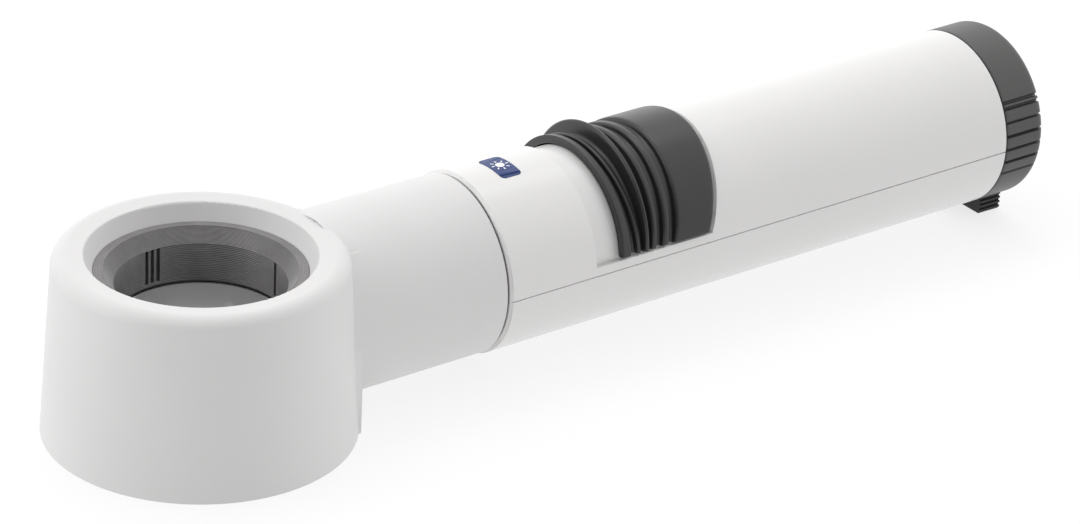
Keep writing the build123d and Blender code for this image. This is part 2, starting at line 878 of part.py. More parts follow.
# Contact disc at the bottom of the cap.
with BuildPart() as cap_contact_plate:
    with BuildSketch(across(plate_position)):
        Circle(plate_radius)
    extrude(amount=plate_thickness)

# Conical battery spring: closed coils of wire that taper towards the battery.
with BuildPart() as battery_spring:
    spring_rise = spring_height - 2 * spring_wire_radius
    cone = degrees(asin((spring_wide_radius - spring_narrow_radius) / spring_rise * 0.999))
    with BuildLine() as coil:
        Helix(
            pitch=spring_rise / spring_turns,
            height=spring_rise,
            radius=spring_wide_radius,
            center=axis_start + along * (plate_position - spring_wire_radius),
            direction=along * -1,
            cone_angle=-cone,
        )
    with BuildSketch(Plane(origin=coil.line @ 0, z_dir=coil.line % 0)):
        Circle(spring_wire_radius)
    sweep(path=coil.line)

# Black foot and turning lug under the cap. Its sole lies on the base plane.
with BuildPart() as cap_foot:
    with BuildSketch(Plane.XY):
        with Locations((foot_middle, 0)):
            Rectangle(foot_rear - foot_front, 2 * foot_half_width)
    extrude(amount=foot_top)
    chamfer(cap_foot.edges().filter_by(Axis.X).group_by(Axis.Z)[0], 0.5)
    with BuildSketch(across(cap_start - 1)):
        Circle(handle_radius)
    extrude(amount=cap_end, mode=Mode.SUBTRACT)
    for row in (1, 2, 3):
        for direction in (-1, 1):
            with BuildSketch(Plane.YZ.offset(foot_front - 1)):
                with Locations((direction * foot_half_width, row * foot_groove_spacing + 0.2)):
                    Rectangle(2 * foot_groove_depth, foot_groove_width)
            extrude(amount=foot_rear, mode=Mode.SUBTRACT)
    with BuildSketch(Plane.XY.offset(1)):
        with Locations((foot_middle, 0)):
            Circle(foot_peg_radius)
    extrude(amount=foot_top - 1 - body_gap)

pieces = {
    "head_housing": head_housing,
    "lens_cell": lens_cell,
    "lens_seal": lens_seal,
    "magnifier_lens": magnifier_lens,
    "lens_retaining_ring": lens_retaining_ring,
    "light_window": light_window,
    "led_board": led_board,
    "led_emitter": led_emitter,
    "led_reflector": led_reflector,
    "board_screws": board_screws,
    "head_plug": head_plug,
    "head_contact_pins": head_contact_pins,
    "head_leads": head_leads,
    "upper_shell": upper_shell,
    "lower_shell": lower_shell,
    "socket_block": socket_block,
    "socket_contacts": socket_contacts,
    "contact_holder": contact_holder,
    "front_contact_plate": front_contact_plate,
    "battery_front": battery_front,
    "battery_rear": battery_rear,
    "front_strip": front_strip,
    "rear_strip": rear_strip,
    "switch_detent_spring": switch_detent_spring,
    "lamp_label": lamp_label,
    "switch_slider": switch_slider,
    "switch_bridge": switch_bridge,
    "end_cap": end_cap,
    "cap_seal": cap_seal,
    "cap_contact_plate": cap_contact_plate,
    "battery_spring": battery_spring,
    "cap_foot": cap_foot,
}
for name, piece in pieces.items():
    piece.part.label = name
    export_step(piece.part, f"parts/{name}.step")
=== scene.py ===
from math import atan2, cos, hypot, pi, radians, sin

import bpy
from mathutils import Matrix, Vector


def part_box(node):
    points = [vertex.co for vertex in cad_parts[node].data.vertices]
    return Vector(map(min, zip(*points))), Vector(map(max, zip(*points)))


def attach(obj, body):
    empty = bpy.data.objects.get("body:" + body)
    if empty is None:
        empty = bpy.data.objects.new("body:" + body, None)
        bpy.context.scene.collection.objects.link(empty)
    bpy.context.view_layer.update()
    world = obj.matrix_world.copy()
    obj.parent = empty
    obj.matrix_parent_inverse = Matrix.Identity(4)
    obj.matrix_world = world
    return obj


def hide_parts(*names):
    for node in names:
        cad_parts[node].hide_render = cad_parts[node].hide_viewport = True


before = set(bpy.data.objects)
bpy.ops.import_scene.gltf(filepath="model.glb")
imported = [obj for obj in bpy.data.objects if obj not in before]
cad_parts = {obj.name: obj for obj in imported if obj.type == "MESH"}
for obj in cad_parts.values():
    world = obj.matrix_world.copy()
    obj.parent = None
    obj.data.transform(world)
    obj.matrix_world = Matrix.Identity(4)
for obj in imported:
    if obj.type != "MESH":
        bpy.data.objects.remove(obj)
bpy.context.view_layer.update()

mm = 0.001

# ---- Head housing --------------------------------------------------------------------------
# White moulded cone that stands on its base ring, with the neck that carries the lamp.
# Matt ABS plastic with a fine spark-eroded grain. One moulding, made in the frame's CAD.


def merged_copy(node, name, body, sharp_angle=28, rounds=()):
    """A copy of a frame part with its triangles joined and its curved faces shaded smooth.

    rounds are the part's true curved faces: the light follows them and not the triangles.
    """
    bpy.ops.object.select_all(action="DESELECT")
    piece = bpy.data.objects.new(name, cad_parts[node].data.copy())
    piece.data.materials.clear()
    bpy.context.scene.collection.objects.link(piece)
    bpy.context.view_layer.objects.active = piece
    piece.select_set(True)
    bpy.ops.object.mode_set(mode="EDIT")
    bpy.ops.mesh.select_all(action="SELECT")
    bpy.ops.mesh.remove_doubles(threshold=0.002 * mm)
    bpy.ops.object.mode_set(mode="OBJECT")
    bpy.ops.object.shade_smooth_by_angle(angle=radians(sharp_angle))
    if rounds:
        mesh = piece.data
        normals = [Vector(corner.vector) for corner in mesh.corner_normals]
        for face in mesh.polygons:
            for corner in face.loop_indices:
                place = mesh.vertices[mesh.loops[corner].vertex_index].co
                closest = cos(radians(sharp_angle))
                for true_normal in rounds:
                    normal = true_normal(place)
                    if normal is None:
                        continue
                    facing = normal.dot(face.normal)
                    if abs(facing) > closest:
                        closest = abs(facing)
                        normals[corner] = normal if facing > 0 else -normal
        mesh.normals_split_custom_set(normals)
    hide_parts(node)
    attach(piece, body)
    return piece


handle_axis_height = 17.1 * mm
handle_tilt = radians(0.9)
near_enough = 0.03 * mm


def tube(radius):
    """Round face about the handle's axis."""
    start = Vector((0, 0, handle_axis_height))
    along = Vector((cos(handle_tilt), 0, sin(handle_tilt)))

    def true_normal(place):
        offset = place - start
        spoke = offset - along * offset.dot(along)
        if abs(spoke.length - radius) > near_enough:
            return None
        return spoke.normalized()

    return true_normal


def cone(low_radius, low, high_radius, high):
    """Conical face about the lens axis."""
    slope = (low_radius - high_radius) / (high - low)

    def true_normal(place):
        radius = hypot(place.x, place.y)
        if abs(radius - low_radius + slope * (place.z - low)) > near_enough:
            return None
        return Vector((place.x / radius, place.y / radius, slope)).normalized()

    return true_normal


def rolled_edge(ring_radius, height, edge_radius):
    """Rounded edge about the lens axis."""

    def true_normal(place):
        radius = hypot(place.x, place.y)
        out, rise = radius - ring_radius, place.z - height
        if abs(hypot(out, rise) - edge_radius) > near_enough or out < -near_enough:
            return None
        return Vector((place.x / radius * out, place.y / radius * out, rise)).normalized()

    return true_normal


def moulded_plastic(name, colour, roughness, grain_size, grain_depth, gloss_spread=0.06, tint=0.03):
    """Moulded plastic: faint cloudy colour, eroded grain and a roughness that wanders."""
    material = bpy.data.materials.new(name)
    material.use_nodes = True
    nodes, links = material.node_tree.nodes, material.node_tree.links
    shader = nodes["Principled BSDF"]
    place = nodes.new("ShaderNodeTexCoord")
    cloud = nodes.new("ShaderNodeTexNoise")
    cloud.inputs["Scale"].default_value = 45
    cloud.inputs["Detail"].default_value = 4
    links.new(place.outputs["Object"], cloud.inputs["Vector"])
    colours = nodes.new("ShaderNodeValToRGB")
    darker = [part * (1 - tint) for part in colour]
    colours.color_ramp.elements[0].position = 0.3
    colours.color_ramp.elements[0].color = (*darker, 1)
    colours.color_ramp.elements[1].position = 0.7
    colours.color_ramp.elements[1].color = (*colour, 1)
    links.new(cloud.outputs["Fac"], colours.inputs["Fac"])
    links.new(colours.outputs["Color"], shader.inputs["Base Color"])
    rubbed = nodes.new("ShaderNodeTexNoise")
    rubbed.inputs["Scale"].default_value = 160
    rubbed.inputs["Detail"].default_value = 6
    links.new(place.outputs["Object"], rubbed.inputs["Vector"])
    gloss = nodes.new("ShaderNodeMapRange")
    gloss.inputs["To Min"].default_value = roughness - gloss_spread
    gloss.inputs["To Max"].default_value = roughness + gloss_spread
    links.new(rubbed.outputs["Fac"], gloss.inputs["Value"])
    links.new(gloss.outputs["Result"], shader.inputs["Roughness"])
    grain = nodes.new("ShaderNodeTexNoise")
    grain.inputs["Scale"].default_value = 1 / grain_size
    grain.inputs["Detail"].default_value = 3
    links.new(place.outputs["Object"], grain.inputs["Vector"])
    bump = nodes.new("ShaderNodeBump")
    bump.inputs["Strength"].default_value = 0.35
    bump.inputs["Distance"].default_value = grain_depth
    links.new(grain.outputs["Fac"], bump.inputs["Height"])
    links.new(bump.outputs["Normal"], shader.inputs["Normal"])
    shader.inputs["IOR"].default_value = 1.5
    return material


head_base_radius = 27.8 * mm
head_top_radius = 25.7 * mm
head_height = 34.0 * mm
head_top_edge = 2.6 * mm
edge_ring = 23.267 * mm
edge_height = 31.216 * mm
opening_radius = 20.2 * mm
opening_top = head_height - 0.4 * mm
opening_floor = head_height - 3.4 * mm
sleeve_radius = 18.65 * mm
neck_radius = 16.7 * mm
neck_bore = 14.7 * mm
root_radius = 28.2 * mm
handle_radius = 17.0 * mm
matt_white = moulded_plastic("matt_white_abs", (0.675, 0.667, 0.665), 0.5, 0.35 * mm, 0.012 * mm)
head_housing = merged_copy(
    "head_housing",
    "head_shell",
    "head",
    rounds=(
        cone(head_base_radius, 0, head_top_radius, head_height),
        rolled_edge(edge_ring, edge_height, head_top_edge),
        cone(head_top_radius, head_height, opening_radius, opening_top),
        cone(sleeve_radius, opening_floor, opening_radius, opening_top),
        tube(neck_radius),
        tube(handle_radius),
        tube(neck_bore),
        cone(root_radius, 0, root_radius, 1),
    ),
)
head_housing.data.materials.append(matt_white)

# ---- Lens cell -----------------------------------------------------------------------------
# Black anodised cell turned from bar: a thin rim, a cone with fine concentric tool steps, and
# a well with turned lines and narrow slots that break reflections. Pushed into the housing.


def turned(name, profile, steps):
    """Closed ring turned about the Z axis from a profile of (radius, height) points, in metres."""
    bpy.ops.object.select_all(action="DESELECT")
    bpy.ops.mesh.primitive_plane_add(size=0.001, location=(0, 0, 0))
    piece = bpy.context.object
    piece.name = name
    bpy.ops.object.mode_set(mode="EDIT")
    bpy.ops.mesh.select_all(action="SELECT")
    bpy.ops.mesh.merge(type="CENTER")
    radius, height = profile[0]
    bpy.ops.transform.translate(value=(radius, 0, height))
    for start, end in zip(profile, profile[1:]):
        step = (end[0] - start[0], 0, end[1] - start[1])
        bpy.ops.mesh.extrude_region_move(TRANSFORM_OT_translate={"value": step})
    bpy.ops.mesh.select_all(action="SELECT")
    bpy.ops.mesh.spin(steps=steps, angle=2 * pi, center=(0, 0, 0), axis=(0, 0, 1))
    bpy.ops.mesh.select_all(action="SELECT")
    bpy.ops.mesh.remove_doubles(threshold=0.001 * mm)
    bpy.ops.mesh.normals_make_consistent(inside=False)
    bpy.ops.object.mode_set(mode="OBJECT")
    return piece


cell_low, cell_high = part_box("lens_cell")
cell_radius = cell_high.x
cell_top = cell_high.z
cell_bottom = cell_low.z
rim_width = 1.85 * mm
step_depth = 2.55 * mm
slot_foot = 0.4 * mm
lip_radius = cell_radius - rim_width
well_radius = 15.0 * mm
well_top = cell_top - step_depth
ledge = 21.0 * mm
seat_radius = 16.25 * mm
profile = [
    (cell_radius, cell_bottom),
    (cell_radius, cell_top - 0.12 * mm),
    (cell_radius - 0.12 * mm, cell_top),
]
rim_lines = 3
rim_pitch = (cell_radius - lip_radius - 0.5 * mm) / rim_lines
for line in range(rim_lines):
    radius = cell_radius - 0.2 * mm - rim_pitch * line
    profile.append((radius - 0.3 * rim_pitch, cell_top))
    profile.append((radius - 0.5 * rim_pitch, cell_top - 0.05 * mm))
    profile.append((radius - 0.7 * rim_pitch, cell_top))
profile += [
    (lip_radius + 0.26 * mm, cell_top),
    (lip_radius + 0.2 * mm, cell_top + 0.09 * mm),
    (lip_radius + 0.04 * mm, cell_top + 0.09 * mm),
]
cone_steps = 15
cone_run = (lip_radius - well_radius) / cone_steps
cone_fall = (cell_top - well_top) / cone_steps
for step in range(cone_steps):
    radius = lip_radius - cone_run * step
    height = cell_top - cone_fall * step
    profile.append((radius, height - 0.1 * cone_fall))
    profile.append((radius - 0.1 * cone_run, height - 0.6 * cone_fall))
    profile.append((radius - 0.85 * cone_run, height - 0.8 * cone_fall))
wall_lines = 20
wall_pitch = (well_top - ledge) / wall_lines
for line in range(wall_lines):
    height = well_top - wall_pitch * line
    profile.append((well_radius, height))
    profile.append((well_radius, height - 0.55 * wall_pitch))
    profile.append((well_radius + 0.08 * mm, height - 0.78 * wall_pitch))
profile += [
    (well_radius, ledge),
    (seat_radius, ledge),
    (seat_radius, cell_bottom),
    (cell_radius, cell_bottom),
]
lens_cell = turned("lens_cell_turned", profile, 144)
slot_angles = (-0.5, 88.0, 92.5, 97.0, 179.5, 268.0, 272.5, 277.0)
slot_tools = []
for angle in slot_angles:
    bpy.ops.object.select_all(action="DESELECT")
    turn = radians(angle)
    slot_height = 6.5 * mm
    bpy.ops.mesh.primitive_cube_add(
        size=1,
        location=(well_radius * cos(turn), well_radius * sin(turn), ledge + slot_foot + slot_height / 2),
        rotation=(0, 0, turn),
        scale=(1.4 * mm, 0.7 * mm, slot_height),
    )
    slot_tools.append(bpy.context.object)
for tool in slot_tools:
    cut = lens_cell.modifiers.new("slot", "BOOLEAN")
    cut.operation = "DIFFERENCE"
    cut.solver = "EXACT"
    cut.object = tool
    bpy.context.view_layer.objects.active = lens_cell
    bpy.ops.object.modifier_apply(modifier=cut.name)
    bpy.data.objects.remove(tool)
bpy.ops.object.select_all(action="DESELECT")
lens_cell.select_set(True)
bpy.context.view_layer.objects.active = lens_cell
bpy.ops.object.shade_smooth_by_angle(angle=radians(20))


def turned_metal(name, colour, roughness, line_size, line_depth, metallic=1.0):
    """Turned metal: fine lines round the Z axis, broken up by a little noise."""
    material = bpy.data.materials.new(name)
    material.use_nodes = True
    nodes, links = material.node_tree.nodes, material.node_tree.links
    shader = nodes["Principled BSDF"]
    shader.inputs["Metallic"].default_value = metallic
    place = nodes.new("ShaderNodeTexCoord")
    lay = nodes.new("ShaderNodeMapping")
    lay.inputs["Scale"].default_value = (1, 1, 6)
    links.new(place.outputs["Object"], lay.inputs["Vector"])
    lines = nodes.new("ShaderNodeTexNoise")
    lines.inputs["Scale"].default_value = 1 / line_size
    lines.inputs["Detail"].default_value = 2
    links.new(lay.outputs["Vector"], lines.inputs["Vector"])
    patches = nodes.new("ShaderNodeTexNoise")
    patches.inputs["Scale"].default_value = 260
    patches.inputs["Detail"].default_value = 5
    links.new(place.outputs["Object"], patches.inputs["Vector"])
    colours = nodes.new("ShaderNodeValToRGB")
    colours.color_ramp.elements[0].color = (*[part * 0.75 for part in colour], 1)
    colours.color_ramp.elements[1].color = (*[min(1, part * 1.2) for part in colour], 1)
    links.new(patches.outputs["Fac"], colours.inputs["Fac"])
    links.new(colours.outputs["Color"], shader.inputs["Base Color"])
    gloss = nodes.new("ShaderNodeMapRange")
    gloss.inputs["To Min"].default_value = max(0.05, roughness - 0.1)
    gloss.inputs["To Max"].default_value = roughness + 0.1
    links.new(lines.outputs["Fac"], gloss.inputs["Value"])
    links.new(gloss.outputs["Result"], shader.inputs["Roughness"])
    bump = nodes.new("ShaderNodeBump")
    bump.inputs["Strength"].default_value = 0.4
    bump.inputs["Distance"].default_value = line_depth
    links.new(lines.outputs["Fac"], bump.inputs["Height"])
    links.new(bump.outputs["Normal"], shader.inputs["Normal"])
    return material


anodised_black = turned_metal("anodised_black", (0.22, 0.214, 0.214), 0.34, 0.25 * mm, 0.02 * mm,
                              metallic=0.4)
lens_cell.data.materials.append(anodised_black)
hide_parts("lens_cell")
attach(lens_cell, "head")
retaining_ring = merged_copy("lens_retaining_ring", "lens_ring", "head")
retaining_ring.data.materials.append(anodised_black)

# ---- Lens ----------------------------------------------------------------------------------
# Biconvex magnifying lens moulded in clear acrylic and polished, with a flat rim that the
# screwed ring holds against a soft seal. The same acrylic closes the lamp's opening.


def clear_acrylic(name, colour, roughness):
    """Polished acrylic with a few faint smears that show only in its gloss."""
    material = bpy.data.materials.new(name)
    material.use_nodes = True
    nodes, links = material.node_tree.nodes, material.node_tree.links
    shader = nodes["Principled BSDF"]
    shader.inputs["Base Color"].default_value = (*colour, 1)
    shader.inputs["Transmission Weight"].default_value = 1
    shader.inputs["IOR"].default_value = 1.49
    place = nodes.new("ShaderNodeTexCoord")
    smear = nodes.new("ShaderNodeTexNoise")
    smear.inputs["Scale"].default_value = 120
    smear.inputs["Detail"].default_value = 5
    links.new(place.outputs["Object"], smear.inputs["Vector"])
    gloss = nodes.new("ShaderNodeMapRange")
    gloss.inputs["From Min"].default_value = 0.45
    gloss.inputs["To Min"].default_value = roughness
    gloss.inputs["To Max"].default_value = roughness + 0.05
    links.new(smear.outputs["Fac"], gloss.inputs["Value"])
    links.new(gloss.outputs["Result"], shader.inputs["Roughness"])
    return material


lens_acrylic = clear_acrylic("lens_acrylic", (0.97, 0.98, 0.98), 0.01)
lens = merged_copy("magnifier_lens", "lens_polished", "head")
lens.data.materials.append(lens_acrylic)
window = merged_copy("light_window", "lamp_window", "head")
window.data.materials.append(clear_acrylic("window_acrylic", (0.95, 0.96, 0.96), 0.08))

# ---- Seals and foot ------------------------------------------------------------------------
# A flat grey ring above the lens's rim, and the black ribbed foot under the end cap.
# Moulded rubber, dull, with a dusty bloom in its grain.

black_rubber = moulded_plastic("black_rubber", (0.016, 0.016, 0.017), 0.62, 0.25 * mm, 0.02 * mm,
                               tint=0.35)
foot = merged_copy("cap_foot", "ribbed_foot", "cap")
foot.data.materials.append(black_rubber)
grey_rubber = moulded_plastic("grey_rubber", (0.11, 0.108, 0.108), 0.6, 0.25 * mm, 0.01 * mm, tint=0.2)
lens_seal = merged_copy("lens_seal", "lens_ring_seal", "head")
lens_seal.data.materials.append(grey_rubber)

# ---- Handle shells -------------------------------------------------------------------------
# Two white half shells that meet along both sides. The same ABS as the head with a finer
# grain, so the handle is a little glossier. The upper one holds the switch and the label.

satin_white = moulded_plastic("satin_white_abs", (0.73, 0.722, 0.718), 0.24, 0.5 * mm, 0.006 * mm,
                              gloss_spread=0.05, tint=0.02)
recess_radius = handle_radius - 1.0 * mm
shell_bore = handle_radius - 1.8 * mm
for node, name in (("upper_shell", "shell_upper"), ("lower_shell", "shell_lower")):
    shell = merged_copy(node, name, "handle",
                        rounds=(tube(handle_radius), tube(recess_radius), tube(shell_bore)))
    shell.data.materials.append(satin_white)

# ---- Switch slider -------------------------------------------------------------------------
# Dark grey saddle that rides over the top of the handle. Moulded in ABS with five ridges
# for the thumb. One stands tall on top, and three of the others lean towards the sides.

saddle_inner = 16.3 * mm
saddle_half_angle = 84.5
saddle_lines = (
    # place along the axis, lean on top, radius at the sides, rise on top
    (78.00, 0.00, 16.3, 0.0),
    (78.00, 0.00, 17.2, 0.0),
    (78.02, -0.10, 17.65, 0.0),
    (78.12, -0.20, 17.82, 0.0),
    (78.35, -0.30, 17.85, 0.0),
    (79.40, -0.40, 17.82, -0.1),
    (79.85, -0.50, 17.80, -0.15),
    (80.05, -0.60, 17.55, -0.1),
    (80.15, -0.70, 16.70, 0.0),
    (80.30, -0.80, 16.60, 0.0),
    (81.20, -1.10, 16.60, 0.0),
    (81.35, -1.20, 16.70, 0.0),
    (81.45, -1.25, 17.45, -0.1),
    (81.62, -1.30, 17.72, -0.1),
    (82.10, -1.38, 17.76, -0.1),
    (82.28, -1.30, 17.50, -0.1),
    (82.38, -1.15, 16.75, 0.0),
    (82.50, -0.95, 16.60, 0.0),
    (82.70, -0.40, 16.60, 0.0),
    (82.80, -0.10, 16.75, 0.3),
    (82.88, -0.02, 17.55, 1.6),
    (83.05, 0.00, 17.85, 1.80),
    (83.55, 0.00, 17.87, 1.80),
    (83.74, 0.05, 17.60, 1.6),
    (83.82, 0.15, 16.75, 0.3),
    (83.92, 0.55, 16.60, 0.0),
    (84.04, 1.35, 16.60, 0.0),
    (84.12, 1.70, 16.75, 0.0),
    (84.22, 1.90, 17.55, -0.1),
    (84.42, 2.00, 17.80, -0.1),
    (85.10, 2.15, 17.80, -0.1),
    (85.32, 2.25, 17.60, -0.1),
    (85.42, 2.28, 16.75, 0.0),
    (85.55, 2.30, 16.60, 0.0),
    (86.40, 2.35, 16.60, 0.0),
    (86.55, 2.38, 16.75, 0.0),
    (86.65, 2.42, 17.55, -0.1),
    (86.88, 2.46, 17.78, -0.1),
    (87.80, 2.55, 17.78, -0.1),
    (88.02, 2.60, 17.55, 0.0),
    (88.12, 2.62, 16.75, 0.0),
    (88.25, 2.65, 16.60, 0.1),
    (89.10, 2.78, 16.60, 0.1),
    (89.25, 2.85, 16.75, 0.1),
    (89.38, 2.92, 17.60, 0.0),
    (89.62, 3.05, 17.84, 0.0),
    (90.20, 3.20, 17.85, 0.0),
    (93.00, 4.00, 17.85, 0.0),
    (96.20, 5.10, 17.85, 0.0),
    (96.80, 5.20, 17.83, 0.0),
    (97.05, 5.28, 17.68, 0.0),
    (97.10, 5.30, 17.40, 0.0),
    (97.10, 5.30, 16.3, 0.0),
)


def onto_handle(piece):
    """Turns a piece from the handle's own frame (X along it from the lens axis) into place."""
    bpy.ops.object.select_all(action="DESELECT")
    piece.select_set(True)
    bpy.context.view_layer.objects.active = piece
    piece.rotation_euler = (0, -handle_tilt, 0)
    piece.location = (0, 0, handle_axis_height)
    bpy.ops.object.transform_apply(location=True, rotation=True, scale=True)


bpy.ops.object.select_all(action="DESELECT")
row_steps = 22
edge_margin = 0.5
row_angles = [saddle_half_angle * (step / row_steps - 1) for step in range(2 * row_steps + 1)]
row_angles[1] = -saddle_half_angle + edge_margin
row_angles[-2] = saddle_half_angle - edge_margin
bpy.ops.mesh.primitive_grid_add(
    x_subdivisions=len(saddle_lines) - 1, y_subdivisions=len(row_angles) - 1, size=2
)
slider = bpy.context.object
slider.name = "slider_saddle"


def handle_point(s, radius, angle):
    """A point in the handle's own frame: along it, and out at an angle from its top."""
    return (s, radius * sin(radians(angle)), radius * cos(radians(angle)))


for vertex in slider.data.vertices:
    line = round((vertex.co.x + 1) / 2 * (len(saddle_lines) - 1))
    angle = row_angles[round((vertex.co.y + 1) / 2 * (len(row_angles) - 1))]
    s, lean, radius, rise = saddle_lines[line]
    on_top = cos(radians(angle))
    edge_round = 0.12 if abs(angle) > saddle_half_angle - 0.1 and radius > 16.5 else 0.0
    vertex.co = handle_point(
        (s + lean * on_top) * mm, (radius - edge_round + rise * on_top) * mm, angle
    )
bpy.ops.object.mode_set(mode="EDIT")
bpy.ops.mesh.select_all(action="SELECT")
bpy.ops.mesh.extrude_region_move()
bpy.ops.object.mode_set(mode="OBJECT")
for vertex in slider.data.vertices:
    if vertex.select:
        radius = hypot(vertex.co.y, vertex.co.z)
        vertex.co.y *= saddle_inner / radius
        vertex.co.z *= saddle_inner / radius
bpy.ops.object.mode_set(mode="EDIT")
bpy.ops.mesh.select_all(action="SELECT")
bpy.ops.mesh.remove_doubles(threshold=0.001 * mm)
bpy.ops.mesh.normals_make_consistent(inside=False)
bpy.ops.object.mode_set(mode="OBJECT")
bpy.ops.object.modifier_add(type="SUBSURF")
slider.modifiers[-1].levels = 2
slider.modifiers[-1].render_levels = 2
bpy.ops.object.modifier_apply(modifier=slider.modifiers[-1].name)
onto_handle(slider)
bpy.ops.object.shade_smooth_by_angle(angle=radians(35))
graphite_dark = moulded_plastic("graphite_dark_abs", (0.022, 0.0215, 0.0215), 0.3, 0.4 * mm,
                                0.012 * mm, tint=0.15)
slider.data.materials.append(graphite_dark)
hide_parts("switch_slider")
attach(slider, "switch")

# ---- End cap -------------------------------------------------------------------------------
# Dark grey bayonet cap, moulded in the slider's ABS, with grip ribs on both sides that run
# along the axis and a rounded rear edge. A thin black ring fills the gap in front of it.

cap_front = 169.7 * mm
cap_rear = 179.1 * mm
cap_radius = handle_radius
cap_inner = 15.4 * mm
cap_floor = cap_rear - 2.2 * mm
rear_round = 1.6 * mm
front_edge = 0.3 * mm
edge_swell = 0.08 * mm
dish_radius = 12.6 * mm
dish_depth = 0.25 * mm
pole = 0.001 * mm
side_rows = 12
round_rows = 8
profile = [
    (cap_inner, cap_front),
    (cap_radius - front_edge, cap_front),
    (cap_radius - edge_swell, cap_front + edge_swell),
    (cap_radius, cap_front + front_edge),
]
for row in range(1, side_rows):
    profile.append((cap_radius, cap_front + (cap_rear - rear_round - cap_front) * row / side_rows))
for row in range(round_rows + 1):
    turn = radians(90 * row / round_rows)
    profile.append((
        cap_radius - rear_round + rear_round * cos(turn),
        cap_rear - rear_round + rear_round * sin(turn),
    ))
profile += [
    (dish_radius, cap_rear),
    (dish_radius - 0.4 * mm, cap_rear - dish_depth),
    (dish_radius - 6.6 * mm, cap_rear - dish_depth),
    (pole, cap_rear - dish_depth),
    (pole, cap_floor),
    (cap_inner, cap_floor),
    (cap_inner, cap_front),
]
end_cap = turned("cap_ribbed", profile, 720)
grooves = (60.4, 64.3, 73.5, 82.8, 92.1, 101.4, 110.6)
groove_half = 1.05
groove_side = 0.5
groove_depth = 0.75 * mm
for vertex in end_cap.data.vertices:
    radius = hypot(vertex.co.x, vertex.co.y)
    if radius > cap_radius - rear_round * 0.95 and vertex.co.z > cap_front + 0.01 * mm:
        angle = abs(atan2(vertex.co.y, vertex.co.x)) * 180 / pi
        nearest = min(abs(angle - groove) for groove in grooves)
        if nearest < groove_half:
            depth = groove_depth * min(1.0, (groove_half - nearest) / groove_side)
            vertex.co.x *= 1 - depth / radius
            vertex.co.y *= 1 - depth / radius


def along_the_handle(piece):
    """Lays a piece that was turned about the vertical along the handle."""
    for vertex in piece.data.vertices:
        up, aside, s = vertex.co
        vertex.co = (s, aside, up)
    bpy.ops.object.mode_set(mode="EDIT")
    bpy.ops.mesh.select_all(action="SELECT")
    bpy.ops.mesh.normals_make_consistent(inside=False)
    bpy.ops.object.mode_set(mode="OBJECT")
    onto_handle(piece)


along_the_handle(end_cap)
bpy.ops.object.shade_smooth_by_angle(angle=radians(30))
graphite_grey = moulded_plastic("graphite_grey_abs", (0.066, 0.065, 0.064), 0.4, 0.4 * mm,
                                0.012 * mm, tint=0.12)
end_cap.data.materials.append(graphite_grey)
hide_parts("end_cap")
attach(end_cap, "cap")
seal_inner, seal_outer = 15.45 * mm, 16.85 * mm
seal_front, seal_rear = 169.41 * mm, 169.66 * mm
profile = [
    (seal_inner, seal_front),
    (seal_outer, seal_front),
    (seal_outer, seal_rear),
    (seal_inner, seal_rear),
    (seal_inner, seal_front),
]
gap_seal = turned("cap_gap_seal", profile, 180)
along_the_handle(gap_seal)
bpy.ops.object.shade_smooth_by_angle(angle=radians(30))
gap_seal.data.materials.append(black_rubber)
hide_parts("cap_seal")
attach(gap_seal, "handle")

# ---- Lamp label ----------------------------------------------------------------------------
# Small blue plate let into the upper shell, with a white lamp sign printed on it: a disc
# with eight rays. The plate is bent to the handle's curve.

label = merged_copy("lamp_label", "blue_label_plate", "handle")
label_blue = moulded_plastic("label_blue", (0.006, 0.034, 0.175), 0.4, 0.3 * mm, 0.004 * mm,
                             tint=0.12)
label.data.materials.append(label_blue)

label_middle = 62.8 * mm
print_radius = 17.13 * mm
disc_radius = 0.85 * mm
ray_start = 1.15 * mm
ray_length = 0.6 * mm
ray_width = 0.26 * mm
bpy.ops.object.select_all(action="DESELECT")
bpy.ops.mesh.primitive_cylinder_add(vertices=40, radius=disc_radius, depth=0.04 * mm,
                                    end_fill_type="TRIFAN")
sign = bpy.context.object
sign.name = "lamp_sign"
for ray in range(8):
    turn = 2 * pi * ray / 8
    reach = ray_start + ray_length / 2
    bpy.ops.mesh.primitive_cube_add(
        size=1,
        location=(reach * cos(turn), reach * sin(turn), 0),
        rotation=(0, 0, turn),
        scale=(ray_length, ray_width, 0.04 * mm),
    )
    bar = bpy.context.object
    bpy.ops.object.mode_set(mode="EDIT")
    bpy.ops.mesh.select_all(action="SELECT")
    bpy.ops.mesh.subdivide(number_cuts=3)
    bpy.ops.object.mode_set(mode="OBJECT")
    bpy.ops.object.transform_apply(location=True, rotation=True, scale=True)
    bar.select_set(True)
    sign.select_set(True)
    bpy.context.view_layer.objects.active = sign
    bpy.ops.object.join()
    bpy.ops.object.select_all(action="DESELECT")
for vertex in sign.data.vertices:
    angle = vertex.co.y / print_radius
    radius = print_radius + vertex.co.z
    vertex.co = (label_middle + vertex.co.x, radius * sin(angle), radius * cos(angle))
onto_handle(sign)
print_white = moulded_plastic("print_white", (0.85, 0.85, 0.86), 0.4, 0.2 * mm, 0.003 * mm)
sign.data.materials.append(print_white)
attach(sign, "handle")

# ---- Plug, socket and lamp -----------------------------------------------------------------
# What shows when the head is pulled off, and what lies inside: black plug and socket, brass
# contacts, the lamp on its board, leads, batteries, strips and the spring.

black_abs = moulded_plastic("black_abs", (0.02, 0.02, 0.021), 0.5, 0.35 * mm, 0.015 * mm, tint=0.3)
for node, name, body in (
    ("head_plug", "plug_body", "head"),
    ("socket_block", "socket_body", "handle"),
    ("contact_holder", "contact_disc_holder", "handle"),
):
    merged_copy(node, name, body).data.materials.append(black_abs)

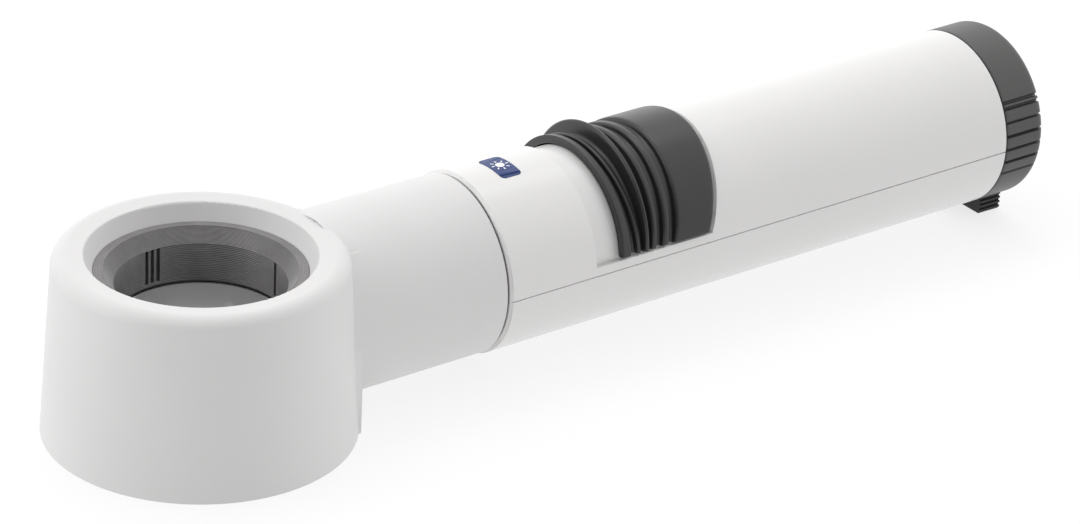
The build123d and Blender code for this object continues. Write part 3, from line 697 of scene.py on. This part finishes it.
brass = turned_metal("contact_brass", (0.72, 0.5, 0.2), 0.3, 0.3 * mm, 0.006 * mm)
for node, name, body in (
    ("head_contact_pins", "plug_pins", "head"),
    ("socket_contacts", "socket_sleeves", "handle"),
    ("front_contact_plate", "front_contact", "handle"),
    ("switch_bridge", "switch_contact_bridge", "switch"),
):
    merged_copy(node, name, body).data.materials.append(brass)

plated_steel = turned_metal("plated_steel", (0.6, 0.6, 0.62), 0.28, 0.4 * mm, 0.006 * mm)
for node, name, body in (
    ("board_screws", "screws_board", "head"),
    ("front_strip", "strip_front", "handle"),
    ("rear_strip", "strip_rear", "handle"),
    ("switch_detent_spring", "detent_leaf", "handle"),
    ("cap_contact_plate", "cap_contact_disc", "cap"),
    ("battery_spring", "spring_coil", "cap"),
):
    merged_copy(node, name, body).data.materials.append(plated_steel)

bright = turned_metal("reflector_bright", (0.85, 0.85, 0.86), 0.12, 0.6 * mm, 0.002 * mm)
merged_copy("led_reflector", "reflector_cup", "head").data.materials.append(bright)
lamp_resin = clear_acrylic("lamp_resin", (0.98, 0.97, 0.9), 0.05)
merged_copy("led_emitter", "lamp_dome", "head").data.materials.append(lamp_resin)
board_green = moulded_plastic("board_green", (0.012, 0.12, 0.05), 0.35, 0.6 * mm, 0.02 * mm,
                              tint=0.4)
merged_copy("led_board", "lamp_board", "head").data.materials.append(board_green)
lead_red = moulded_plastic("lead_jacket_red", (0.35, 0.03, 0.025), 0.45, 0.4 * mm, 0.01 * mm,
                           tint=0.2)
merged_copy("head_leads", "lamp_leads", "head").data.materials.append(lead_red)
sleeve_dark = moulded_plastic("battery_sleeve", (0.05, 0.055, 0.065), 0.25, 0.8 * mm, 0.006 * mm,
                              tint=0.3)
for node, name in (("battery_front", "cell_front"), ("battery_rear", "cell_rear")):
    merged_copy(node, name, "handle").data.materials.append(sleeve_dark)

# ---- Floor, light and camera ---------------------------------------------------------------
# White sweep under and behind the object, lit by a white tent and soft panels
# from above and from the left.

bpy.ops.object.select_all(action="DESELECT")
bpy.ops.mesh.primitive_plane_add(size=6, location=(0.08, 0, 0))
floor = bpy.context.object
floor.name = "floor"


def paper(name, shade, glow):
    """Matt paper of one shade that also glows evenly, as a lit sweep does."""
    material = bpy.data.materials.new(name)
    material.use_nodes = True
    shader = material.node_tree.nodes["Principled BSDF"]
    shader.inputs["Base Color"].default_value = (shade, shade, shade, 1)
    shader.inputs["Roughness"].default_value = 0.9
    shader.inputs["Emission Color"].default_value = (1, 1, 1, 1)
    shader.inputs["Emission Strength"].default_value = glow
    return material


floor.data.materials.append(paper("floor_paper", 0.2, 0.76))

# painted shade: a grey sheet inside the base ring, under the lens, stands in for the shade inside the
# head that the glowing floor would light up, and glows a little itself
shade_sheet_radius = 24 * mm
shade_sheet_lift = 0.05 * mm
bpy.ops.object.select_all(action="DESELECT")
bpy.ops.mesh.primitive_circle_add(vertices=96, radius=shade_sheet_radius, fill_type="NGON",
                                  location=(0, 0, shade_sheet_lift))
shade_sheet = bpy.context.object
shade_sheet.name = "painted_shade_sheet"
# painted shade: grey paper with a faint glow, seen through the lens
shade_sheet.data.materials.append(paper("painted_shade_paper", 0.35, 0.16))

# white tent: bright above, at the sides and behind, dimmer from the front
world = bpy.data.worlds.new("studio")
bpy.context.scene.world = world
world.use_nodes = True
tent, ties = world.node_tree.nodes, world.node_tree.links
direction = tent.new("ShaderNodeTexCoord")
towards_front = tent.new("ShaderNodeVectorMath")
towards_front.operation = "DOT_PRODUCT"
towards_front.inputs[1].default_value = (-0.6, -0.8, 0.05)
ties.new(direction.outputs["Generated"], towards_front.inputs[0])
brightness = tent.new("ShaderNodeMapRange")
brightness.interpolation_type = "SMOOTHSTEP"
brightness.inputs["From Min"].default_value = 0.15
brightness.inputs["From Max"].default_value = 0.95
brightness.inputs["To Min"].default_value = 1.28
brightness.inputs["To Max"].default_value = 0.22
ties.new(towards_front.outputs["Value"], brightness.inputs["Value"])
ties.new(brightness.outputs["Result"], tent["Background"].inputs["Strength"])
tent["Background"].inputs["Color"].default_value = (1, 1, 1, 1)


def soft_panel(name, place, aim, width, height, power):
    """A large soft light at a place, turned to its aim."""
    light = bpy.data.lights.new(name, "AREA")
    light.shape = "RECTANGLE"
    light.size = width
    light.size_y = height
    light.energy = power
    panel = bpy.data.objects.new(name, light)
    bpy.context.scene.collection.objects.link(panel)
    panel.location = place
    panel.rotation_euler = (Vector(aim) - Vector(place)).to_track_quat("-Z", "Y").to_euler()


middle = (0.07, 0, 0.02)
soft_panel("panel_top", (0.15, 0.35, 0.9), middle, 1.0, 0.3, 1.2)
soft_panel("panel_left", (-0.75, 0.25, 0.35), middle, 0.6, 0.7, 1.6)

turn_round = radians(-36.938)
rise = radians(26.628)
roll = radians(2.767)
camera_place = Vector((-358.20, -572.89, 372.55)) * mm
back = Vector((sin(turn_round) * cos(rise), -cos(turn_round) * cos(rise), sin(rise)))
right = (-back).cross(Vector((0, 0, 1))).normalized()
up = right.cross(-back)
rolled_right = right * cos(roll) + up * sin(roll)
rolled_up = up * cos(roll) - right * sin(roll)
camera_data = bpy.data.cameras.new("camera")
camera_data.sensor_width = 36
camera_data.lens = 146.76
camera_data.clip_start = 0.05
camera = bpy.data.objects.new("camera", camera_data)
bpy.context.scene.collection.objects.link(camera)
camera.matrix_world = Matrix.Translation(camera_place) @ Matrix(
    (rolled_right, rolled_up, back)
).transposed().to_4x4()
bpy.context.scene.camera = camera
bpy.context.scene.view_settings.view_transform = "Standard"
